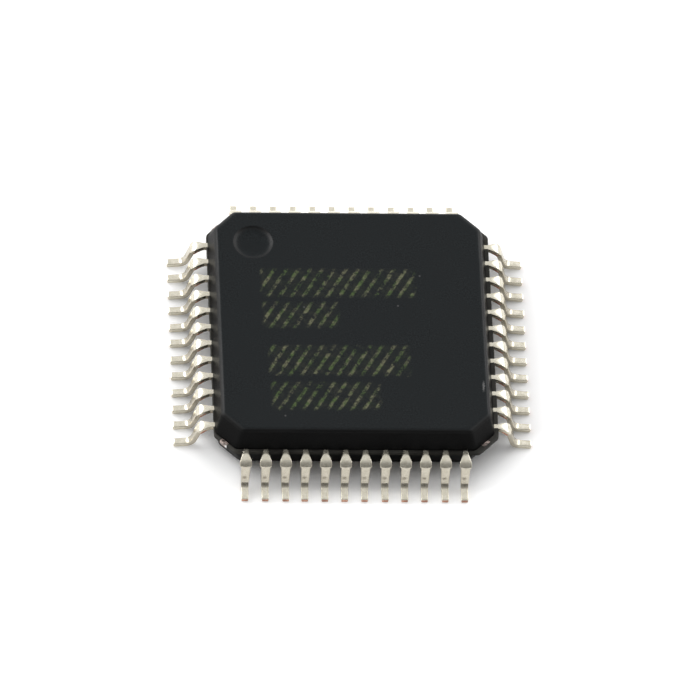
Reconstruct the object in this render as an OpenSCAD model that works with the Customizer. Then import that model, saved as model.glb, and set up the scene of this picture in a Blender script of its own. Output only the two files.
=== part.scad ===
// Bus terminator chip in a 48-lead low-profile quad flat package.
// The origin is the centre of the package on the plane that the lead feet stand on.
// Lead 1 is at the rear of the left side; the count runs anticlockwise seen from above.

/* [Leads] */
// Leads on each of the four sides
leads_per_side = 12; // [6:1:13]
// Distance between the centres of neighbouring leads
lead_pitch = 0.5; // [0.45:0.01:0.65]
// Thickness of the plated lead strip
lead_t = 0.127; // [0.1:0.001:0.16]
// Distance from the body wall to the tip of the foot
lead_reach = 1.0; // [0.9:0.05:1.4]
// Straight shoulder between the body wall and the upper bend
shoulder_run = 0.22; // [0.14:0.01:0.28]
// Radius of the upper bend at the middle of the strip
upper_bend_r = 0.16; // [0.12:0.01:0.22]
// Radius of the lower bend at the middle of the strip
lower_bend_r = 0.21; // [0.14:0.01:0.24]
// Lean of the leg from the vertical
leg_lean = 16; // [10:1:25]
// Width of the narrow neck at the body wall
neck_w = 0.15; // [0.11:0.01:0.18]
// Width across the cut ends of the dam bar
dam_w = 0.3; // [0.24:0.005:0.34]
// Width of the leg just below the dam bar
leg_w = 0.23; // [0.2:0.01:0.24]
// Width of the foot
foot_w = 0.18; // [0.14:0.01:0.2]
// Distance from the body wall to the start of the flare
flare_from = 0.1; // [0.04:0.01:0.16]
// Distance from the body wall to the full width of the flare
flare_to = 0.34; // [0.28:0.01:0.38]
// Distance from the body wall to the lower end of the dam bar cut
dam_to = 0.425; // [0.39:0.005:0.47]

/* [Body] */
// Distance from the last lead of a row to the corner of the body
corner_run = 0.75; // [0.65:0.05:1.2]
// Thickness of the moulded body
body_h = 1.4; // [1.2:0.05:1.6]
// Gap between the underside of the body and the plane of the feet
standoff = 0.1; // [0.05:0.01:0.15]
// Draft of the upper and lower walls
draft = 13; // [8:1:16]
// Leg of the chamfer on each corner
corner_chamfer = 0.5; // [0.35:0.01:0.65]
// Radius between the walls and the corner chamfers
corner_r = 0.16; // [0.06:0.01:0.24]
// Radius of the upper and lower rims
rim_r = 0.13; // [0.06:0.01:0.2]
// Ledge of resin that stands out at the parting line
parting_ledge = 0.07; // [0.03:0.01:0.1]
// Sideways shift of the ledge against the upper half
parting_shift = 0.04; // [0:0.01:0.05]

/* [Marks] */
// Diameter of the lead 1 dimple at the top face
dimple_d = 1.0; // [0.6:0.05:1.2]
// Depth of the lead 1 dimple
dimple_depth = 0.07; // [0.03:0.01:0.12]
// Distance from the walls at the parting line to the centre of the dimple
dimple_inset = 1.1; // [0.9:0.05:1.4]
// Run of the sloped wall of the dimple
dimple_slope = 0.09; // [0.03:0.01:0.15]
// Diameter of the ejector pin marks on the underside
ejector_d = 1.1; // [0.6:0.05:1.4]
// Depth of the ejector pin marks
ejector_depth = 0.03; // [0.02:0.01:0.05]
// Distance from the centre to each ejector pin mark
ejector_offset = 1.9; // [1.4:0.05:2.2]

/* [Inside] */
// Width of the square die paddle
paddle_w = 4.0; // [3.6:0.1:4.2]
// Drop of the paddle below the leads
paddle_downset = 0.2; // [0.12:0.01:0.3]
// Width of the tie bars
tie_bar_w = 0.22; // [0.15:0.01:0.3]
// Length of cut tie bar that stands out of the corner
tie_stub = 0.01; // [0.01:0.01:0.06]
// Width of the square die
die_w = 3.0; // [2.4:0.1:3.4]
// Thickness of the die
die_t = 0.28; // [0.15:0.01:0.32]
// Thickness of the die-attach film
attach_t = 0.025; // [0.02:0.005:0.04]
// Rim of the die-attach film around the die
attach_rim = 0.06; // [0.02:0.01:0.1]
// Width of an inner lead at its tip
tip_w = 0.15; // [0.1:0.01:0.18]
// Gap between the paddle and the inner lead tips
tip_gap = 0.25; // [0.15:0.01:0.35]
// Gap between the tie bars and the nearest inner lead tips
tie_gap = 0.15; // [0.08:0.01:0.25]
// Diameter of the bond wires
wire_d = 0.025; // [0.02:0.001:0.032]
// Height of the wire loops above the die
loop_h = 0.15; // [0.1:0.01:0.18]

/* [Hidden] */
lead_count = 4 * leads_per_side;
body_half = (leads_per_side - 1) * lead_pitch / 2 + corner_run;
row_middle = (leads_per_side - 1) / 2;

// Levels above the plane of the feet
body_bottom = standoff;
body_top = standoff + body_h;
lead_z = standoff + body_h / 2;
lead_top = lead_z + lead_t / 2;
lead_bottom = lead_z - lead_t / 2;
paddle_top = lead_top - paddle_downset;
die_bottom = paddle_top + attach_t;
die_top = die_bottom + die_t;

// Gull wing: both bends turn by the same angle, and the straight leg makes up the height
bend_turn = 90 - leg_lean;
bend_steps = 8;
wing_drop = lead_z - lead_t / 2;
leg_len = (wing_drop - (upper_bend_r + lower_bend_r) * (1 - cos(bend_turn))) / sin(bend_turn);
heel_run = shoulder_run + (upper_bend_r + lower_bend_r) * sin(bend_turn) + leg_len * cos(bend_turn);
dam_step = 0.015;

// Inner leads: the tips stand in a row that clears the tie bars on the diagonals
tip_line = paddle_w / 2 + tip_gap;
tip_row_half = tip_line - tie_bar_w / sqrt(2) - tie_gap - tip_w / 2;
tip_pitch = 2 * tip_row_half / (leads_per_side - 1);
inner_len = body_half - tip_line;
inner_straight = 0.25;
tip_straight = 0.2;

// Tie bars: flat beside the paddle, a ramp up to the level of the leads, flat to the corner
paddle_corner = paddle_w / sqrt(2);
corner_reach = (2 * body_half - corner_chamfer) / sqrt(2);
ramp_gap = 0.08;
ramp_slope = 1.5;
ramp_from = paddle_corner + ramp_gap;
ramp_to = ramp_from + ramp_slope * paddle_downset;
tie_end = corner_reach + parting_ledge + tie_stub;

// Bond wires: a flattened ball on the die, a loop, and a stitch on the inner lead
ball_r = 1.3 * wire_d;
ball_h = 0.8 * wire_d;
pad_inset = 0.1;
pad_corner = 0.25;
pad_pitch = (die_w - 2 * pad_corner) / (leads_per_side - 1);
stitch_inset = 0.1;
wire_sides = 6;
wire_steps = [0, 0.2, 0.45, 0.7, 0.9, 1];

corner_steps = 4;
rim_steps = 5;
cut_over = 0.05;

function lead_name(n) = str("lead_", n < 9 ? "0" : "", n + 1);

function polar(r, a) = [r * cos(a), r * sin(a)];

// Solid through a list of rings, each ring anticlockwise seen from the far end
module loft(rings) {
    count = len(rings[0]);
    last = len(rings) - 1;
    sides = [
        for (i = [0 : last - 1])
            for (j = [0 : count - 1])
                let (k = (j + 1) % count)
                    [i * count + j, (i + 1) * count + j, (i + 1) * count + k, i * count + k]
    ];
    near_cap = [for (j = [0 : count - 1]) j];
    far_cap = [for (j = [count - 1 : -1 : 0]) last * count + j];
    polyhedron(
        points = [for (ring = rings) each ring],
        faces = concat([near_cap], sides, [far_cap])
    );
}

// Corner between the edge whose normal is at angle a and the next edge of an octagon
function octagon_corner(a, d1, d2) =
    let (t = (d2 - d1 * cos(45)) / sin(45))
        d1 * [cos(a), sin(a)] + t * [-sin(a), cos(a)];

// Square outline with chamfered corners and a radius at each vertex
function chamfered_square(half, chamfer, r) = [
    for (i = [0 : 7])
        let (
            side = half - r,
            slant = (2 * half - chamfer) / sqrt(2) - r,
            c = octagon_corner(45 * i, i % 2 == 0 ? side : slant, i % 2 == 0 ? slant : side)
        )
            for (j = [0 : corner_steps])
                c + polar(r, 45 * i + 45 * j / corner_steps)
];

function body_ring(half, z, shift = 0) =
    [for (p = chamfered_square(half, corner_chamfer, corner_r)) [p[0] + shift, p[1], z]];

// Half width and height above the parting line, up one drafted wall and round its rim
function wall_profile(h) =
    let (
        rim_z = h - rim_r,
        rim_x = body_half - (rim_r + rim_z * sin(draft)) / cos(draft)
    )
        concat(
            [[body_half, 0]],
            [
                for (j = [0 : rim_steps])
                    let (a = draft + (90 - draft) * j / rim_steps)
                        [rim_x, rim_z] + polar(rim_r, a)
            ]
        );

module body_form() {
    wall = wall_profile((body_h - lead_t) / 2);
    last = len(wall) - 1;
    loft(concat(
        [for (i = [last : -1 : 0]) body_ring(wall[i][0], lead_bottom - wall[i][1])],
        [for (z = [lead_bottom, lead_top]) body_ring(body_half + parting_ledge, z, parting_shift)],
        [for (w = wall) body_ring(w[0], lead_top + w[1])]
    ));
}

// Shallow round recess in the top face, with a sloped wall
module dimple_cut() {
    r = dimple_d / 2;
    place = body_half - dimple_inset;
    translate([-place, place, body_top])
        rotate_extrude($fn = 64)
            polygon([
                [0, -dimple_depth],
                [r - dimple_slope, -dimple_depth],
                [r, 0],
                [r, cut_over],
                [0, cut_over]
            ]);
}

module ejector_cuts() {
    for (side = [-1, 1])
        translate([side * ejector_offset, side * ejector_offset, body_bottom - cut_over])
            cylinder(h = ejector_depth + cut_over, d = ejector_d, $fn = 64);
}

module mould_body() {
    color("#2c2d2f")
        difference() {
            body_form();
            for (n = [0 : lead_count - 1])
                lead(n);
            die_paddle();
            die_attach();
            die();
            bond_wires();
            dimple_cut();
            ejector_cuts();
        }
}

// Points on the two bends of the strip, where r is measured from each bend's own centre
function upper_bend(r) = [
    for (i = [0 : bend_steps])
        let (a = bend_turn * i / bend_steps)
            [shoulder_run + r * sin(a), lead_z - upper_bend_r + r * cos(a)]
];
function lower_bend(r) = [
    for (i = [bend_steps : -1 : 0])
        let (a = bend_turn * i / bend_steps)
            [heel_run - r * sin(a), lead_t / 2 + lower_bend_r - r * cos(a)]
];
function backwards(list) = [for (i = [len(list) - 1 : -1 : 0]) list[i]];

// Side view of a lead: distance out from the body wall, and height
function wing_profile() = concat(
    [[-inner_len, lead_top]],
    upper_bend(upper_bend_r + lead_t / 2),
    lower_bend(lower_bend_r - lead_t / 2),
    [[lead_reach, lead_t], [lead_reach, 0]],
    backwards(lower_bend(lower_bend_r + lead_t / 2)),
    backwards(upper_bend(upper_bend_r - lead_t / 2)),
    [[-inner_len, lead_bottom]]
);

// One edge of the lead seen from above; jog is how far the inner tip leans towards the middle
function lead_edge(side, jog) = [
    [jog + side * tip_w / 2, -inner_len],
    [jog + side * tip_w / 2, -inner_len + tip_straight],
    [side * neck_w / 2, -inner_straight],
    [side * neck_w / 2, flare_from],
    [side * dam_w / 2, flare_to],
    [side * dam_w / 2, dam_to],
    [side * leg_w / 2, dam_to + dam_step],
    [side * foot_w / 2, heel_run],
    [side * foot_w / 2, lead_reach]
];

// A lead of the front row, moved to its place in the row
module row_lead(k) {
    jog = (k - row_middle) * (tip_pitch - lead_pitch);
    across = 2 * (abs(jog) + dam_w);
    translate([(k - row_middle) * lead_pitch, -body_half, 0])
        intersection() {
            rotate([90, 0, -90])
                linear_extrude(height = across, center = true)
                    polygon(wing_profile());
            translate([0, 0, -cut_over])
                linear_extrude(height = lead_top + 2 * cut_over)
                    mirror([0, 1])
                        polygon(concat(lead_edge(-1, jog), backwards(lead_edge(1, jog))));
        }
}

module lead(n) {
    side = floor(n / leads_per_side);
    color("#d9d7cc")
        rotate([0, 0, 90 * (side - 1)])
            row_lead(n % leads_per_side);
}

module tie_bar() {
    rotate([90, 0, 0])
        linear_extrude(height = tie_bar_w, center = true)
            polygon([
                [0, paddle_top - lead_t],
                [ramp_from, paddle_top - lead_t],
                [ramp_to, lead_bottom],
                [tie_end, lead_bottom],
                [tie_end, lead_top],
                [ramp_to, lead_top],
                [ramp_from, paddle_top],
                [0, paddle_top]
            ]);
}

module die_paddle() {
    color("#b87333") {
        translate([-paddle_w / 2, -paddle_w / 2, paddle_top - lead_t])
            cube([paddle_w, paddle_w, lead_t]);
        for (corner = [0 : 3])
            rotate([0, 0, 45 + 90 * corner])
                tie_bar();
    }
}

module die_attach() {
    w = die_w + 2 * attach_rim;
    color("#c9c9c4")
        translate([-w / 2, -w / 2, paddle_top])
            cube([w, w, attach_t]);
}

module die() {
    color("#5c6670")
        translate([-die_w / 2, -die_w / 2, die_bottom])
            cube([die_w, die_w, die_t]);
}

function bezier(p, u) =
    pow(1 - u, 3) * p[0] + 3 * pow(1 - u, 2) * u * p[1] + 3 * (1 - u) * u * u * p[2] + pow(u, 3) * p[3];
function bezier_slope(p, u) =
    pow(1 - u, 2) * (p[1] - p[0]) + 2 * (1 - u) * u * (p[2] - p[1]) + u * u * (p[3] - p[2]);

// Ring of a wire at the point [run, rise], for a wire that climbs at angle a along heading
function wire_ring(start, heading, point, a, r) =
    let (
        ahead = [cos(heading), sin(heading), 0],
        aside = [-sin(heading), cos(heading), 0],
        over = cos(a) * [0, 0, 1] - sin(a) * ahead
    )
        [
            for (j = [0 : wire_sides - 1])
                let (q = polar(r, 360 * j / wire_sides))
                    start + point[0] * ahead + [0, 0, point[1]] + q[0] * aside + q[1] * over
        ];

// A wire of the front row, from its pad on the die to the stitch on its inner lead
module row_wire(k) {
    pad = [(k - row_middle) * pad_pitch, -(die_w / 2 - pad_inset), die_top];
    stitch = [(k - row_middle) * tip_pitch, -(tip_line + stitch_inset), lead_top];
    run = norm([stitch[0] - pad[0], stitch[1] - pad[1]]);
    heading = atan2(stitch[1] - pad[1], stitch[0] - pad[0]);
    // A cubic curve rises to three quarters of the height of its two middle points
    crown = 4 / 3 * loop_h;
    loop = [[0, ball_h], [0, crown], [run, crown], [run, lead_top - die_top]];
    loft(concat(
        [wire_ring(pad, heading, [0, 0], 90, ball_r)],
        [wire_ring(pad, heading, [0, ball_h / 2], 90, ball_r)],
        [
            for (u = wire_steps)
                let (slope = bezier_slope(loop, u))
                    wire_ring(pad, heading, bezier(loop, u), atan2(slope[1], slope[0]), wire_d / 2)
        ]
    ));
}

module bond_wires() {
    color("#d4af37")
        for (side = [0 : 3])
            rotate([0, 0, 90 * (side - 1)])
                for (k = [0 : leads_per_side - 1])
                    row_wire(k);
}

mould_body();
die_paddle();
die_attach();
die();
bond_wires();
for (n = [0 : lead_count - 1])
    lead(n);
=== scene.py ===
import math
import random

import bmesh
import bpy
from mathutils import Matrix, Vector, noise


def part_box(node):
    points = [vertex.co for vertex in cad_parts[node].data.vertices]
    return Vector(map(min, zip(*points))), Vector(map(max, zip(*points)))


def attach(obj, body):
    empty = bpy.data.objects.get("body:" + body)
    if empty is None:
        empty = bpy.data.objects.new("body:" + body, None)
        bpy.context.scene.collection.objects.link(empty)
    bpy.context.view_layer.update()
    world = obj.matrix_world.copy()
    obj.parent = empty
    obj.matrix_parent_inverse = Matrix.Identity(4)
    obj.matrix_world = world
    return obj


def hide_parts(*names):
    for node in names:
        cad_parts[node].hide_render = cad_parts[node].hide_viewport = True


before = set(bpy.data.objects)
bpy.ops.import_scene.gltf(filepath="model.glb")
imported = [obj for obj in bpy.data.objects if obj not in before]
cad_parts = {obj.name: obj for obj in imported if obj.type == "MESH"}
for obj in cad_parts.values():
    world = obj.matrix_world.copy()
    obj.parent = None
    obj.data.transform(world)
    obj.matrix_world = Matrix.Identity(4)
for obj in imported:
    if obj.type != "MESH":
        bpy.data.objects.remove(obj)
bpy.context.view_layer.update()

# Sizes are in millimetres, as in the solids, and meshes are made in metres
MM = 0.001

# Angles in degrees between faces, above which an edge is shaded sharp
body_sharp = 40
lead_sharp = 50

# Body: levels and reach come from the frame
body_low, body_high = (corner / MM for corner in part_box("mould_body"))
body_bottom = body_low.z
body_top = body_high.z
parting_ledge = 0.07
parting_shift = 0.04
body_half = body_high.y - parting_ledge
draft = math.radians(13)
corner_chamfer = 0.5
corner_r = 0.16
rim_r = 0.13
ledge_edge_r = 0.018
ledge_ragged = 0.02
ledge_bites_per_mm = 4.0
dimple_d = 1.0
dimple_depth = 0.07
dimple_inset = 1.1
dimple_power = 6
ejector_d = 1.1
ejector_depth = 0.03
ejector_offset = 1.9
ejector_edge = 0.012
flat_margin = 0.03

# Leads: the reach and the pitch come from the frame
leads_per_side = 12
first_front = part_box("lead_13")[0] / MM
second_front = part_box("lead_14")[0] / MM
lead_pitch = second_front.x - first_front.x
lead_reach = -first_front.y - body_half
lead_t = 0.127
lead_z = (body_bottom + body_top) / 2
lead_top = lead_z + lead_t / 2
lead_bottom = lead_z - lead_t / 2
shoulder_run = 0.05
droop_len = 0.21
droop = math.radians(14)
upper_bend_r = 0.18
lower_bend_r = 0.235
leg_tilt = math.radians(74)
foot_tilt = math.radians(6)
neck_w = 0.15
dam_w = 0.3
leg_w = 0.23
foot_w = 0.18
tip_w = 0.15
flare_from = 0.1
flare_to = 0.34
dam_to = 0.425
dam_step = 0.015
inner_len = 1.25
inner_straight = 0.25
tip_straight = 0.2
tip_pitch = 0.340
row_middle = (leads_per_side - 1) / 2

# Fine form of a stamped lead, and the shade painted on it
top_edge_r = 0.016
bottom_edge_r = 0.012
top_crown = 0.003
least_edge_r = 0.002
tip_edge = 0.012
cut_rim = 0.002
dent_depth = 0.008
dent_length = 0.06
dent_width = 0.06
dent_at = 0.755
dent_aside = -0.02
# Painted shade standing for dark reflections: along the leg, fading in at its ends, and on the heel of the
# front and back rows
leg_shade = 0.5
leg_shade_fade = 0.1
heel_shade_at = 0.985
heel_shade_length = 0.035
heel_shade_width = 0.045
heel_shade = 0.9
bare_from = 0.22
lead_lean = 0.008
neck_station = -0.05

# Camera: angles in degrees and distances in millimetres, from the places of the lead tips in the photo
camera_yaw = 7.779
camera_elevation = 54.661
camera_roll = 6.753
camera_distance = 325.77
pixels_per_mm = 39.759
picture_pixels = 700
aim_across = -0.0521
aim_over = -0.1252
sensor_mm = 36

random_source = random.Random(48)


def add(tree, kind, inputs=None, **settings):
    """A node of one kind with its settings; its inputs are values, or sockets to link."""
    made = tree.nodes.new(kind)
    for name, value in settings.items():
        setattr(made, name, value)
    for key, value in (inputs or {}).items():
        if isinstance(value, bpy.types.NodeSocket):
            tree.links.new(value, made.inputs[key])
        else:
            made.inputs[key].default_value = value
    return made


def calc(tree, operation, *values):
    return add(tree, "ShaderNodeMath", dict(enumerate(values)), operation=operation).outputs[0]


def ramp(tree, value, low, high, to_low=0.0, to_high=1.0):
    """value taken smoothly from the range low to high onto the range to_low to to_high."""
    inputs = {"Value": value, "From Min": low, "From Max": high, "To Min": to_low, "To Max": to_high}
    return add(tree, "ShaderNodeMapRange", inputs, interpolation_type="SMOOTHSTEP").outputs[0]


def product(tree, first, *others):
    for other in others:
        first = calc(tree, "MULTIPLY", first, other)
    return first


def length_of(tree, x, y):
    """Length of the arrow that reaches x across and y along."""
    squares = calc(tree, "ADD", calc(tree, "MULTIPLY", x, x), calc(tree, "MULTIPLY", y, y))
    return calc(tree, "SQRT", squares)


def within(tree, value, middle, half, soft):
    """1 where value is nearer to middle than half, and 0 outside, with a soft edge."""
    gap = calc(tree, "ABSOLUTE", calc(tree, "SUBTRACT", value, middle))
    return ramp(tree, gap, half - soft, half + soft, 1.0, 0.0)


def mix_colour(tree, factor, first, second):
    made = add(tree, "ShaderNodeMix", {0: factor, 6: first, 7: second}, data_type="RGBA")
    return made.outputs[2]


def noise_of(tree, place, scale, detail=2.0, roughness=0.5):
    inputs = {"Vector": place, "Scale": scale, "Detail": detail, "Roughness": roughness}
    return add(tree, "ShaderNodeTexNoise", inputs).outputs[0]


def contrast(tree, cloud):
    """Noise, which keeps near the middle of its range, taken onto all of it."""
    return ramp(tree, cloud, 0.3, 0.7)


def attribute(tree, name):
    return add(tree, "ShaderNodeAttribute", attribute_name=name).outputs["Fac"]


def split(tree, vector):
    """The x, y and z of a vector."""
    return add(tree, "ShaderNodeSeparateXYZ", {0: vector}).outputs


def grey(level):
    return (level, level, level, 1.0)


def new_material(name):
    """An empty node material: its tree, its shader, and the place on the object in millimetres."""
    material = bpy.data.materials.new(name)
    material.use_nodes = True
    tree = material.node_tree
    tree.nodes.clear()
    shader = add(tree, "ShaderNodeBsdfPrincipled")
    output = add(tree, "ShaderNodeOutputMaterial")
    tree.links.new(shader.outputs[0], output.inputs[0])
    coordinates = add(tree, "ShaderNodeTexCoord")
    to_mm = {0: coordinates.outputs["Object"], "Scale": 1 / MM}
    place = add(tree, "ShaderNodeVectorMath", to_mm, operation="SCALE").outputs[0]
    return material, tree, shader, place


def link_bump(tree, shader, height, distance):
    bump = add(tree, "ShaderNodeBump", {"Height": height, "Distance": distance * MM, "Strength": 1.0})
    tree.links.new(bump.outputs[0], shader.inputs["Normal"])


# Printed rows of slanted strokes: left end, right end, lower edge and upper edge
mark_rows = (
    (-2.23, 1.62, 0.74, 1.56),
    (-2.21, -0.34, -0.21, 0.54),
    (-2.11, 1.40, -1.66, -0.78),
    (-2.08, 0.62, -2.70, -1.90),
)
stroke_pitch = 0.30
stroke_w = 0.1
stroke_slant = 0.6
stroke_soft = 0.02
stroke_film = 0.08
row_soft = 0.07
print_wobble = 0.1
print_wobbles_per_mm = 16.0
print_wear_per_mm = 7.0
print_wear = (0.36, 0.66)
print_tints_per_mm = 5.0
print_tint = (0.35, 0.65)
ink_green = (0.065, 0.098, 0.034, 1.0)
ink_brown = (0.15, 0.15, 0.09, 1.0)

# Lighter streak on the right rim: place, half size and soft edge, each across and along
rim_streak_at = (3.22, -1.98)
rim_streak_half = (0.0225, 0.12)
rim_streak_soft = (0.0175, 0.08)
rim_streak_grey = 0.13

# Dust on the top: cells per millimetre, the share of them that stay clean, and the size in cells
dust_cells_per_mm = 1.7
dust_clean = 0.965
dust_r = 0.04
dust_soft = 0.02
dust_grey = 0.07

# Mould compound: colours, among them the grey of the shade painted on walls and rims, grain per millimetre
# and gloss
mould_dark = (0.0057, 0.0070, 0.0077, 1.0)
mould_light = (0.0145, 0.0176, 0.0191, 1.0)
mould_cloud = (0.0092, 0.0114, 0.0125, 1.0)
wall_shade_grey = 0.004
flash_dark = (0.028, 0.027, 0.024, 1.0)
flash_light = (0.055, 0.053, 0.047, 1.0)
grain_per_mm = 24.0
grain_height = 0.005
mottle_per_mm = 1.6
dull_least = 0.36
dull_most = 0.48
wall_gloss = 0.05
rim_gloss = 0.26
flat_loss = 0.14
dimple_gloss = 0.8
dimple_lip = 0.02
level_margin = 0.01
ledge_margin = 0.002

# Where the finish and the painted shade of the body change, by how far its faces look up or down: 0 is a
# wall and 1 is level
wall_to_rim = (0.2, 0.7)
rim_to_level = (0.8, 1.0)
nearly_level = (0.9, 0.99)


def hatch_row(tree, x, y, left, right, low, high):
    """Mask of one printed row: slanted strokes, with a faint film of ink between them."""
    slid = calc(tree, "ADD", calc(tree, "SUBTRACT", x, left), calc(tree, "MULTIPLY", y, -stroke_slant))
    off_stroke = calc(tree, "PINGPONG", slid, stroke_pitch / 2)
    stroke_half = stroke_w / 2
    stroke = ramp(tree, off_stroke, stroke_half - stroke_soft, stroke_half + stroke_soft, 1.0, stroke_film)
    across = within(tree, x, (left + right) / 2, (right - left) / 2, row_soft)
    along = within(tree, y, (low + high) / 2, (high - low) / 2, row_soft)
    return product(tree, stroke, across, along)


def print_mask(tree, place, x, y):
    """Mask of all printed rows, worn away in patches."""
    mask = 0.0
    for row in mark_rows:
        mask = calc(tree, "MAXIMUM", mask, hatch_row(tree, x, y, *row))
    wear = noise_of(tree, place, print_wear_per_mm, 4.0, 0.7)
    return product(tree, mask, ramp(tree, wear, *print_wear))


def dust_mask(tree, place):
    """Mask of single specks, one in each cell that isn't clean."""
    inputs = {"Vector": place, "Scale": dust_cells_per_mm}
    cells = add(tree, "ShaderNodeTexVoronoi", inputs, voronoi_dimensions="2D").outputs
    near = ramp(tree, cells["Distance"], dust_r - dust_soft, dust_r + dust_soft, 1.0, 0.0)
    rare = calc(tree, "GREATER_THAN", split(tree, cells["Color"])[0], dust_clean)
    return product(tree, near, rare)


def mould_material():
    """Black filled epoxy: fine spark-eroded grain, faint mottling, worn print, dust, a lighter streak on
    the right rim, and shade painted on walls and rims.
    """
    material, tree, shader, place = new_material("mould_compound")
    x, y, z = split(tree, place)
    normal = add(tree, "ShaderNodeTexCoord").outputs["Normal"]
    upright = calc(tree, "ABSOLUTE", split(tree, normal)[2])
    off_wall = ramp(tree, upright, *wall_to_rim)
    off_rim = ramp(tree, upright, *rim_to_level)
    flat = ramp(tree, upright, *nearly_level)
    on_top = calc(tree, "GREATER_THAN", z, body_top - level_margin)
    grain = noise_of(tree, place, grain_per_mm, 3.0, 0.6)
    mottle = noise_of(tree, place, mottle_per_mm, 3.0)

    base = mix_colour(tree, contrast(tree, grain), mould_dark, mould_light)
    base = mix_colour(tree, contrast(tree, mottle), base, mould_cloud)
    # Walls and rims painted darker than the level top, as shade
    base = mix_colour(tree, off_rim, grey(wall_shade_grey), base)
    by_ledge = calc(tree, "COMPARE", z, lead_z, lead_t / 2 + ledge_margin)
    flash = mix_colour(tree, contrast(tree, mottle), flash_dark, flash_light)
    base = mix_colour(tree, by_ledge, base, flash)

    ragged = noise_of(tree, place, print_wobbles_per_mm)
    wobble = calc(tree, "MULTIPLY", calc(tree, "SUBTRACT", ragged, 0.5), print_wobble)
    x = calc(tree, "ADD", x, wobble)
    y = calc(tree, "ADD", y, wobble)
    tint = ramp(tree, noise_of(tree, place, print_tints_per_mm), *print_tint)
    ink_colour = mix_colour(tree, tint, ink_green, ink_brown)
    base = mix_colour(tree, product(tree, print_mask(tree, place, x, y), on_top), base, ink_colour)
    base = mix_colour(tree, product(tree, dust_mask(tree, place), on_top), base, grey(dust_grey))
    # Lighter streak on the right rim, off the walls
    rim_streak_x = within(tree, x, rim_streak_at[0], rim_streak_half[0], rim_streak_soft[0])
    rim_streak_y = within(tree, y, rim_streak_at[1], rim_streak_half[1], rim_streak_soft[1])
    base = mix_colour(tree, product(tree, rim_streak_x, rim_streak_y, off_wall), base, grey(rim_streak_grey))

    tree.links.new(base, shader.inputs["Base Color"])
    tree.links.new(ramp(tree, mottle, 0.2, 0.8, dull_least, dull_most), shader.inputs["Roughness"])
    gloss = ramp(tree, off_wall, 0.0, 1.0, wall_gloss, rim_gloss)
    gloss = calc(tree, "SUBTRACT", gloss, calc(tree, "MULTIPLY", flat, flat_loss))
    in_dimple = ramp(tree, z, body_top - dimple_depth, body_top - dimple_lip, dimple_gloss, 1.0)
    tree.links.new(product(tree, gloss, in_dimple), shader.inputs["Specular IOR Level"])
    link_bump(tree, shader, grain, grain_height)
    return material


# Plating of the leads: colours, among them those of the painted shade, clouds and fine marks per
# millimetre, and gloss
tin_dull = (0.75, 0.705, 0.58, 1.0)
tin_bright = (0.85, 0.805, 0.68, 1.0)
# Colour of the shade painted on the leg, the dent and the heel
lead_shade_colour = (0.17, 0.135, 0.10, 1.0)
# Colour of the shade painted on the side faces
side_shade_colour = (0.40, 0.35, 0.26, 1.0)
cut_dark = (0.36, 0.17, 0.11, 1.0)
cut_light = (0.63, 0.35, 0.24, 1.0)
tin_clouds_per_mm = 9.0
tin_marks_per_mm = 42.0
tin_mark_height = 0.0004
tin_metallic = 0.75
tin_dull_least = 0.17
tin_dull_most = 0.26
cut_dulls = 0.15
# Painted shade on the side faces: where it starts and ends, out from the body wall, and its share at each
# end
side_shade_near = 0.1
side_shade_far = 0.5
side_shade_near_share = 0.85
side_shade_far_share = 0.3
side_faces = (0.6, 1.0)
cut_patches = 0.5
cut_edge = (0.4, 0.6)


def lead_material():
    """Matt tin plating with painted shade on the leg, the dent, the heel and the side faces, and bare
    copper where the strip was cut after plating.
    """
    material, tree, shader, place = new_material("tin_plate")
    x, y, z = split(tree, place)
    cloud = noise_of(tree, place, tin_clouds_per_mm, 3.0)
    fine = noise_of(tree, place, tin_marks_per_mm)
    tin = mix_colour(tree, contrast(tree, cloud), tin_dull, tin_bright)
    # Painted shade on the leg, the dent and the heel, kept on the points of each lead
    lead_shade = product(tree, attribute(tree, "lead_shade"), ramp(tree, fine, 0.3, 0.6, 0.6, 0.9))
    tin = mix_colour(tree, lead_shade, tin, lead_shade_colour)
    # Side faces painted darker as shade, most next to the body
    away = calc(tree, "MAXIMUM", calc(tree, "ABSOLUTE", x), calc(tree, "ABSOLUTE", y))
    near = body_half + side_shade_near
    far = body_half + side_shade_far
    painted_side_shade = ramp(tree, away, near, far, side_shade_near_share, side_shade_far_share)
    side = ramp(tree, attribute(tree, "edge"), *side_faces)
    tin = mix_colour(tree, product(tree, side, painted_side_shade), tin, side_shade_colour)
    copper = mix_colour(tree, ramp(tree, cloud, 0.35, 0.65), cut_dark, cut_light)
    patchy = calc(tree, "MULTIPLY", calc(tree, "SUBTRACT", fine, 0.5), cut_patches)
    cut = ramp(tree, calc(tree, "ADD", attribute(tree, "bare"), patchy), *cut_edge)
    tree.links.new(mix_colour(tree, cut, tin, copper), shader.inputs["Base Color"])
    shader.inputs["Metallic"].default_value = tin_metallic
    dull = ramp(tree, cloud, 0.2, 0.8, tin_dull_least, tin_dull_most)
    dull = calc(tree, "ADD", dull, calc(tree, "MULTIPLY", cut, cut_dulls))
    tree.links.new(dull, shader.inputs["Roughness"])
    link_bump(tree, shader, fine, tin_mark_height)
    return material


# Painted glint, a bright spot at the cut end of the tie bar at the front left: place, full size and faded
# size
painted_glint_at = (-3.225, -3.395, lead_z)
painted_glint_r = 0.03
painted_glint_fades = 0.08
painted_glint_grey = 0.95


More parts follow.
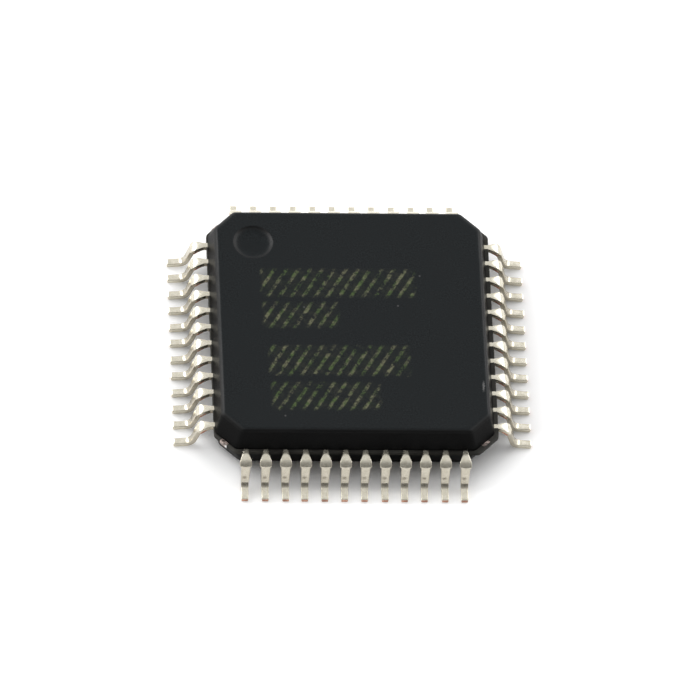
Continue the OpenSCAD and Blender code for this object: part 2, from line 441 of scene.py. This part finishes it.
def plain_material(name, dark, light, scale, roughness, metallic, with_painted_glint=False):
    """A finish for an inner piece: two colours in clouds, a fine grain, and the painted glint if asked
    for.
    """
    dull_spread = 0.06
    grain_share = 6
    inner_grain_height = 0.001
    material, tree, shader, place = new_material(name)
    cloud = noise_of(tree, place, scale, 3.0)
    colour = mix_colour(tree, contrast(tree, cloud), dark, light)
    # Painted glint: a bright spot at the cut end of a tie bar
    if with_painted_glint:
        ends = {0: place, 1: painted_glint_at}
        gap = add(tree, "ShaderNodeVectorMath", ends, operation="DISTANCE").outputs["Value"]
        painted_glint = ramp(tree, gap, painted_glint_r, painted_glint_fades, 1.0, 0.0)
        colour = mix_colour(tree, painted_glint, colour, grey(painted_glint_grey))
    tree.links.new(colour, shader.inputs["Base Color"])
    dull = ramp(tree, cloud, 0.2, 0.8, roughness - dull_spread, roughness + dull_spread)
    tree.links.new(dull, shader.inputs["Roughness"])
    shader.inputs["Metallic"].default_value = metallic
    link_bump(tree, shader, noise_of(tree, place, grain_share * scale), inner_grain_height)
    return material


def mesh_piece(name, mesh_data, material, sharp_degrees):
    """A closed mesh in millimetres becomes a piece in metres that rides on the part."""
    bmesh.ops.recalc_face_normals(mesh_data, faces=mesh_data.faces)
    bmesh.ops.scale(mesh_data, vec=(MM, MM, MM), verts=mesh_data.verts)
    mesh = bpy.data.meshes.new(name)
    mesh_data.to_mesh(mesh)
    mesh_data.free()
    mesh.shade_smooth()
    mesh.set_sharp_from_angle(angle=math.radians(sharp_degrees))
    mesh.materials.append(material)
    piece = bpy.data.objects.new(name, mesh)
    bpy.context.scene.collection.objects.link(piece)
    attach(piece, "root")
    return piece


def bridge(mesh_data, first, second):
    """Quads between two rings of as many points."""
    count = len(first)
    for i in range(count):
        j = (i + 1) % count
        mesh_data.faces.new((first[i], first[j], second[j], second[i]))


def ring_of(mesh_data, points):
    return [mesh_data.verts.new(p) for p in points]


def ring_edges(mesh_data, ring):
    pairs = zip(ring, ring[1:] + ring[:1])
    return [mesh_data.edges.get(pair) or mesh_data.edges.new(pair) for pair in pairs]


def octagon_corner(angle, near, far):
    """Corner between the edge at distance near, whose normal is at the angle, and the next edge."""
    along = (far - near * math.cos(math.pi / 4)) / math.sin(math.pi / 4)
    return Vector((
        near * math.cos(angle) - along * math.sin(angle),
        near * math.sin(angle) + along * math.cos(angle),
    ))


def body_outline(half, inset=0.0):
    """Square with chamfered corners and a radius at each vertex, with points along the long sides."""
    corner_steps = 8
    side_steps = 24
    r = corner_r - inset
    side = half - inset - r
    slant = (2 * half - corner_chamfer) / math.sqrt(2) - inset - r
    points = []
    for i in range(8):
        angle = i * math.pi / 4
        near, far = (side, slant) if i % 2 == 0 else (slant, side)
        centre = octagon_corner(angle, near, far)
        for j in range(corner_steps + 1):
            turn = angle + math.pi / 4 * j / corner_steps
            points.append(centre + r * Vector((math.cos(turn), math.sin(turn))))
        if i % 2 == 1:
            following = octagon_corner(angle + math.pi / 4, far, near)
            start = points[-1]
            end = following + r * Vector((math.cos(turn), math.sin(turn)))
            for j in range(1, side_steps):
                points.append(start.lerp(end, j / side_steps))
    return points


def body_ring(half, z, shift=0.0, inset=0.0):
    return [Vector((p.x + shift, p.y, z)) for p in body_outline(half, inset)]


def wall_profile(height):
    """Half width and height above the parting line, up one drafted wall and round its rim."""
    rim_steps = 10
    rim_z = height - rim_r
    rim_x = body_half - (rim_r + rim_z * math.sin(draft)) / math.cos(draft)
    profile = [(body_half, 0.0)]
    for j in range(rim_steps + 1):
        angle = draft + (math.pi / 2 - draft) * j / rim_steps
        profile.append((rim_x + rim_r * math.cos(angle), rim_z + rim_r * math.sin(angle)))
    return profile


def ledge_ring(half, z):
    """Ring of the resin ledge, whose trimmed edge is a little uneven."""
    points = []
    for p in body_ring(half, z, parting_shift):
        bite = ledge_ragged * abs(noise.noise(Vector((p.x, p.y, 0.0)) * ledge_bites_per_mm))
        outward = Vector((p.x, p.y, 0.0)).normalized()
        points.append(p - outward * bite)
    return points


def round_recess(mesh_data, x, y, z, profile):
    """Rings of a round recess, given as radius and drop; returns the outer ring."""
    steps = 72
    turns = [2 * math.pi * i / steps for i in range(steps)]
    rings = []
    for r, drop in profile:
        points = [(x + r * math.cos(turn), y + r * math.sin(turn), z + drop) for turn in turns]
        rings.append(ring_of(mesh_data, points))
    for first, second in zip(rings, rings[1:]):
        bridge(mesh_data, first, second)
    mesh_data.faces.new(rings[-1])
    return rings[0]


def soft_step(t):
    """0 to 1, with a level start and end."""
    return t * t * (3 - 2 * t)


def ejector_profile(r, edge, depth):
    """A flat mark of an ejector pin, whose wall is a smooth step."""
    steps = 12
    profile = [(r + edge + flat_margin, 0.0)]
    for j in range(steps + 1):
        t = j / steps
        profile.append((r + edge - 2 * edge * t, depth * soft_step(t)))
    profile.append((r - edge - flat_margin, depth))
    return profile


def dish_profile(r, depth):
    """A dish that is flat in the middle and steepens towards its rim, where its rings crowd."""
    steps = 14
    crowding = 1.5
    profile = [(r + flat_margin, 0.0)]
    for j in range(steps):
        t = 1 - (j / steps) ** crowding
        profile.append((r * t, -depth * (1 - t ** dimple_power)))
    return profile


def make_body(material):
    mesh_data = bmesh.new()
    wall = wall_profile((body_top - body_bottom - lead_t) / 2)
    reach = body_half + parting_ledge
    rings = [body_ring(wall[-1][0], body_bottom, inset=flat_margin)]
    rings += [body_ring(half, lead_bottom - z) for half, z in reversed(wall)]
    rings.append(ledge_ring(reach - ledge_edge_r, lead_bottom))
    rings.append(ledge_ring(reach, lead_bottom + ledge_edge_r))
    rings.append(ledge_ring(reach, lead_top - ledge_edge_r))
    rings.append(ledge_ring(reach - ledge_edge_r, lead_top))
    rings += [body_ring(half, lead_top + z) for half, z in wall]
    rings.append(body_ring(wall[-1][0], body_top, inset=flat_margin))
    made = [ring_of(mesh_data, points) for points in rings]
    for first, second in zip(made, made[1:]):
        bridge(mesh_data, first, second)

    dimple_at = body_half - dimple_inset
    dish = dish_profile(dimple_d / 2, dimple_depth)
    dimple = round_recess(mesh_data, -dimple_at, dimple_at, body_top, dish)
    top_edges = ring_edges(mesh_data, made[-1]) + ring_edges(mesh_data, dimple)
    bmesh.ops.triangle_fill(mesh_data, edges=top_edges, use_beauty=True)
    low_edges = ring_edges(mesh_data, made[0])
    pin_mark = ejector_profile(ejector_d / 2, ejector_edge, ejector_depth)
    for place in (-ejector_offset, ejector_offset):
        mark = round_recess(mesh_data, place, place, body_bottom, pin_mark)
        low_edges += ring_edges(mesh_data, mark)
    bmesh.ops.triangle_fill(mesh_data, edges=low_edges, use_beauty=True)

    piece = mesh_piece("mould_shell", mesh_data, material, body_sharp)
    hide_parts("mould_body")


def arc_spans(length, start, end):
    """How far an arc of that length, whose tilt goes from start to end, reaches outwards and down."""
    r = length / (end - start)
    return Vector((r * (math.sin(end) - math.sin(start)), r * (math.cos(start) - math.cos(end))))


# Gull wing: shoulder, its gentle droop, upper bend, straight leg, lower bend and sloping foot
upper_len = upper_bend_r * (leg_tilt - droop)
lower_len = lower_bend_r * (leg_tilt - foot_tilt)
arcs = arc_spans(droop_len, 0.0, droop)
arcs += arc_spans(upper_len, droop, leg_tilt)
arcs += arc_spans(lower_len, leg_tilt, foot_tilt)
span_left = lead_reach - shoulder_run - lead_t / 2 * math.sin(foot_tilt) - arcs.x
drop_left = lead_z - lead_t / 2 - arcs.y
turn_sine = math.sin(leg_tilt - foot_tilt)
leg_len = (drop_left * math.cos(foot_tilt) - span_left * math.sin(foot_tilt)) / turn_sine
foot_len = (span_left * math.sin(leg_tilt) - drop_left * math.cos(leg_tilt)) / turn_sine
wing_parts = (
    (shoulder_run, 0.0, 0.0),
    (droop_len, 0.0, droop),
    (upper_len, droop, leg_tilt),
    (leg_len, leg_tilt, leg_tilt),
    (lower_len, leg_tilt, foot_tilt),
    (foot_len, foot_tilt, foot_tilt),
)
wing_len = sum(part[0] for part in wing_parts)
leg_start = shoulder_run + droop_len + upper_len
heel_end = wing_len - foot_len


def centre_line(s):
    """Distance from the body wall, height and tilt at the length s along the middle of a strip."""
    place = Vector((min(s, 0.0), 0.0))
    tilt = 0.0
    for length, start, end in wing_parts:
        run = min(max(s, 0.0), length)
        s -= length
        tilt = start + (end - start) * run / length
        if start == end:
            place += run * Vector((math.cos(tilt), math.sin(tilt)))
        elif run > 0:
            place += arc_spans(run, start, tilt)
        if s <= 0:
            break
    return place.x, lead_z - place.y, tilt


def length_at(distance):
    """Length along the strip at which its upper face is that far from the body wall."""
    step = 0.001
    s = 0.0
    d, z, tilt = centre_line(s)
    while d + lead_t / 2 * math.sin(tilt) < distance:
        s += step
        d, z, tilt = centre_line(s)
    return s


# Half width along the strip: pairs of length and half width, straight between them
width_steps = (
    (-inner_len, tip_w / 2),
    (-inner_len + tip_straight, tip_w / 2),
    (-inner_straight, neck_w / 2),
    (length_at(flare_from), neck_w / 2),
    (length_at(flare_to), dam_w / 2),
    (length_at(dam_to), dam_w / 2),
    (length_at(dam_to + dam_step), leg_w / 2),
    (heel_end, foot_w / 2),
    (wing_len, foot_w / 2),
)
cut_from = length_at(bare_from)
cut_to = length_at(dam_to)


def half_width(s):
    for (s0, w0), (s1, w1) in zip(width_steps, width_steps[1:]):
        if s <= s1:
            return w0 + (w1 - w0) * (s - s0) / (s1 - s0)
    return width_steps[-1][1]


def strip_section(half, shrink=0.0):
    """Section of a strip: across, through its thickness, and how far each point faces sideways."""
    corner_steps = 3
    corners = (
        (1, 1, top_edge_r),
        (-1, 1, top_edge_r),
        (-1, -1, bottom_edge_r),
        (1, -1, bottom_edge_r),
    )
    points = []
    for side_x, side_z, edge_r in corners:
        r = max(edge_r - shrink, least_edge_r)
        centre_x = side_x * (half - shrink - r)
        centre_z = side_z * (lead_t / 2 - shrink - r)
        for j in range(corner_steps + 1):
            turn = math.pi / 2 * j / corner_steps
            if side_x * side_z < 0:
                turn = math.pi / 2 - turn
            points.append((
                centre_x + side_x * r * math.cos(turn),
                centre_z + side_z * r * math.sin(turn),
                math.cos(turn),
            ))
        if side_x > 0 and side_z > 0:
            for share in (0.5, 0.0, -0.5):
                crown = top_crown * (1 - share * share)
                points.append((share * centre_x, lead_t / 2 - shrink + crown, 0.0))
    return points


def strip_lengths():
    """Stations along a strip: close together on the bends, and at each change of width."""
    spacing = 0.0125
    marks = {round(s, 5) for s, half in width_steps}
    marks.update(round(i * spacing, 5) for i in range(int(wing_len / spacing)))
    marks.update((round(wing_len - tip_edge, 5), neck_station))
    return sorted(s for s in marks if s <= wing_len - tip_edge)


def bell(value, middle, width):
    return math.exp(-((value - middle) / width) ** 2)


def make_lead(number, material):
    side, k = divmod(number, leads_per_side)
    jog = (k - row_middle) * (tip_pitch - lead_pitch)
    lean = random_source.uniform(-lead_lean, lead_lean)
    turn = Matrix.Rotation(math.pi / 2 * (side - 1), 3, "Z")
    row_place = (k - row_middle) * lead_pitch
    front_or_back_row = side % 2
    mesh_data = bmesh.new()
    bare = mesh_data.verts.layers.float.new("bare")
    edge = mesh_data.verts.layers.float.new("edge")
    lead_shade = mesh_data.verts.layers.float.new("lead_shade")

    def station(s, shrink=0.0, end_bare=0.0):
        d, z, tilt = centre_line(s)
        inner = (-inner_straight - s) / (inner_len - inner_straight - tip_straight)
        sideways = row_place + jog * min(max(inner, 0.0), 1.0) + lean * max(s, 0.0) ** 2
        along = bell(s, dent_at, dent_length)
        # Painted shade: on the heel of the front and back rows only, and along the leg, fading in at its
        # ends
        heel = heel_shade * front_or_back_row * bell(s, heel_shade_at, heel_shade_length)
        half = half_width(s)
        from_ends = min(s - leg_start + leg_shade_fade, heel_end - s) / leg_shade_fade
        leg_shade_share = leg_shade * soft_step(min(max(from_ends, 0.0), 1.0))
        cut = 1.0 if cut_from <= s <= cut_to else 0.0
        ring = []
        for across, through, side_share in strip_section(half, shrink):
            dent = 0.0
            mark = leg_shade_share
            if through > 0:
                dent = along * bell(across, dent_aside, dent_width)
                # Each point's painted shade: the leg's, the dent's and the heel's
                mark = max(leg_shade_share, dent, heel * bell(across, 0.0, heel_shade_width))
            through -= dent_depth * dent
            out = d + through * math.sin(tilt)
            up = z + through * math.cos(tilt)
            place = turn @ Vector((sideways + across, -body_half - out, up))
            vertex = mesh_data.verts.new(place)
            vertex[bare] = max(end_bare, cut * side_share if through < 0 else 0.0)
            vertex[edge] = side_share
            vertex[lead_shade] = mark
            ring.append(vertex)
        return ring

    rings = [station(s) for s in strip_lengths()]
    rings.append(station(wing_len, tip_edge))
    rings.append(station(wing_len, tip_edge + cut_rim, 1.0))
    for first, second in zip(rings, rings[1:]):
        bridge(mesh_data, first, second)
    mesh_data.faces.new(rings[0])
    mesh_data.faces.new(rings[-1])
    piece = mesh_piece(f"plated_lead_{number + 1:02d}", mesh_data, material, lead_sharp)
    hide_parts(f"lead_{number + 1:02d}")


def dress_node(name, material):
    """A piece whose solid has the right form keeps it and gets its finish."""
    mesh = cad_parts[name].data
    mesh.materials.clear()
    mesh.materials.append(material)


def make_camera():
    yaw = math.radians(camera_yaw)
    elevation = math.radians(camera_elevation)
    roll = math.radians(camera_roll)
    forward = Vector((
        math.sin(yaw) * math.cos(elevation),
        math.cos(yaw) * math.cos(elevation),
        -math.sin(elevation),
    ))
    right = Vector((math.cos(yaw), -math.sin(yaw), 0.0))
    up = right.cross(forward)
    across = math.cos(roll) * right + math.sin(roll) * up
    over = math.cos(roll) * up - math.sin(roll) * right
    place = -camera_distance * forward - aim_across * across - aim_over * over
    camera = bpy.data.objects.new("camera", bpy.data.cameras.new("camera"))
    bpy.context.scene.collection.objects.link(camera)
    axes = Matrix((across, over, -forward)).transposed()
    camera.matrix_world = Matrix.Translation(place * MM) @ axes.to_4x4()
    camera.data.sensor_width = sensor_mm
    camera.data.lens = sensor_mm * camera_distance * pixels_per_mm / picture_pixels
    camera.data.clip_start = 0.01
    bpy.context.scene.camera = camera


# Painted light: white that the paper shows to the eye on top of its lit colour: none in the shadow next to
# the body, the most where the shadow ends, and less again where the paper is fully lit
lift_most = 0.42
lift_least = 0.1
lift_from = -0.2
lift_full = 1.35
lift_fades = 7.0
lift_left = 0.72
lift_right = 0.52
lift_corner = 1.35

# More of that painted light next to the chamfers on the left
lift_chamfer = 0.33
chamfer_from = -0.4
chamfer_full = 0.05
chamfer_left = -2.95
chamfer_fades = -2.65

paper_dark = 0.955
paper_light = 0.97
fibres_per_mm = 3.0


def painted_paper_light(tree, place):
    """How much painted light the paper shows on top of its lit colour at a place."""
    x, y, z = split(tree, place)
    reach_x = calc(tree, "ABSOLUTE", x)
    reach_y = calc(tree, "ABSOLUTE", y)
    start = body_half + lift_from
    aside = ramp(tree, x, -body_half, body_half, lift_left, lift_right)
    out_x = product(tree, calc(tree, "MAXIMUM", calc(tree, "SUBTRACT", reach_x, start), 0.0), aside)
    out_y = calc(tree, "MAXIMUM", calc(tree, "SUBTRACT", reach_y, start), 0.0)
    slant = (2 * body_half - corner_chamfer) / math.sqrt(2)
    diagonal = calc(tree, "MULTIPLY", calc(tree, "ADD", reach_x, reach_y), math.sqrt(0.5))
    past_chamfer = calc(tree, "SUBTRACT", diagonal, slant)
    past_corner = calc(tree, "MULTIPLY", calc(tree, "SUBTRACT", past_chamfer, lift_from), lift_corner)
    away = calc(tree, "MAXIMUM", length_of(tree, out_x, out_y), past_corner)
    full = lift_full - lift_from
    rise = ramp(tree, away, 0.0, full, 0.0, lift_most)
    fall = ramp(tree, away, full, lift_fades, 0.0, lift_most - lift_least)
    by_chamfer = ramp(tree, past_chamfer, chamfer_from, chamfer_full, 0.0, lift_chamfer)
    on_left = ramp(tree, x, chamfer_left, chamfer_fades, 1.0, 0.0)
    return calc(tree, "MAXIMUM", calc(tree, "SUBTRACT", rise, fall), product(tree, by_chamfer, on_left))


def make_floor():
    """Pale matt floor that takes the part's shadow, with painted light on top for camera, glossy and
    transmission rays.
    """
    size = 2.0
    mesh_data = bmesh.new()
    bmesh.ops.create_grid(mesh_data, x_segments=1, y_segments=1, size=size)
    mesh = bpy.data.meshes.new("floor")
    mesh_data.to_mesh(mesh)
    mesh_data.free()
    material, tree, shader, place = new_material("floor_paper")
    fibres = noise_of(tree, place, fibres_per_mm, 3.0)
    paper = mix_colour(tree, ramp(tree, fibres, 0.2, 0.8), grey(paper_dark), grey(paper_light))
    tree.links.new(paper, shader.inputs["Base Color"])
    shader.inputs["Roughness"].default_value = 1.0
    shader.inputs["Specular IOR Level"].default_value = 0.0
    path = add(tree, "ShaderNodeLightPath").outputs
    mirrored = calc(tree, "MAXIMUM", path["Is Glossy Ray"], path["Is Transmission Ray"])
    seen = calc(tree, "MAXIMUM", path["Is Camera Ray"], mirrored)
    shader.inputs["Emission Color"].default_value = grey(1.0)
    tree.links.new(product(tree, seen, painted_paper_light(tree, place)), shader.inputs["Emission Strength"])
    mesh.materials.append(material)
    floor = bpy.data.objects.new("floor", mesh)
    bpy.context.scene.collection.objects.link(floor)


# Brightness of the room round the part, where 1 is white
room_back = 0.82
room_front = 0.17
window_left = 4.4
window_right = 3.0

# Edges in the room, as parts of a direction of length 1: the room goes from its front to its back, and
# the windows have a soft sill, top, front side and back side
room_from = -0.9
room_to = 0.45
sill = (0.2, 0.34)
window_top = (0.7, 0.8)
window_aside = (0.4, 0.54)
window_behind = (-0.1, 0.1)
sides = (-0.1, 0.1)


def make_sky():
    """Soft white room, bright behind the part and dim in front of it, with a window on each side."""
    world = bpy.data.worlds.new("room")
    world.use_nodes = True
    bpy.context.scene.world = world
    tree = world.node_tree
    tree.nodes.clear()
    x, y, z = split(tree, add(tree, "ShaderNodeTexCoord").outputs["Generated"])
    room = ramp(tree, y, room_from, room_to, room_front, room_back)
    flat = length_of(tree, x, y)
    aside = calc(tree, "ABSOLUTE", calc(tree, "DIVIDE", x, flat))
    behind = calc(tree, "DIVIDE", y, flat)
    height = product(tree, ramp(tree, z, *sill), ramp(tree, z, *window_top, 1.0, 0.0))
    width = product(tree, ramp(tree, aside, *window_aside), ramp(tree, behind, *window_behind))
    light = ramp(tree, x, *sides, window_left, window_right)
    level = add(tree, "ShaderNodeMix", {0: product(tree, height, width), 2: room, 3: light}).outputs[0]
    background = add(tree, "ShaderNodeBackground", {"Color": grey(1.0), "Strength": level})
    output = add(tree, "ShaderNodeOutputWorld")
    tree.links.new(background.outputs[0], output.inputs[0])


def make_part():
    make_body(mould_material())
    plating = lead_material()
    for number in range(4 * leads_per_side):
        make_lead(number, plating)
    copper = plain_material(
        "lead_frame_copper",
        dark=(0.07, 0.06, 0.055, 1.0),
        light=(0.74, 0.60, 0.54, 1.0),
        scale=15.0,
        roughness=0.4,
        metallic=0.7,
        with_painted_glint=True,
    )
    epoxy = plain_material(
        "die_attach_epoxy",
        dark=grey(0.45),
        light=grey(0.58),
        scale=6.0,
        roughness=0.5,
        metallic=0.6,
    )
    silicon = plain_material(
        "silicon",
        dark=(0.08, 0.09, 0.11, 1.0),
        light=(0.14, 0.15, 0.18, 1.0),
        scale=2.0,
        roughness=0.2,
        metallic=0.8,
    )
    gold = plain_material(
        "wire_gold",
        dark=(0.78, 0.52, 0.16, 1.0),
        light=(0.95, 0.68, 0.26, 1.0),
        scale=20.0,
        roughness=0.2,
        metallic=1.0,
    )
    dress_node("die_paddle", copper)
    dress_node("die_attach", epoxy)
    dress_node("die", silicon)
    dress_node("bond_wires", gold)


make_camera()
make_part()
make_floor()
make_sky()
bpy.context.scene.view_settings.view_transform = "Standard"
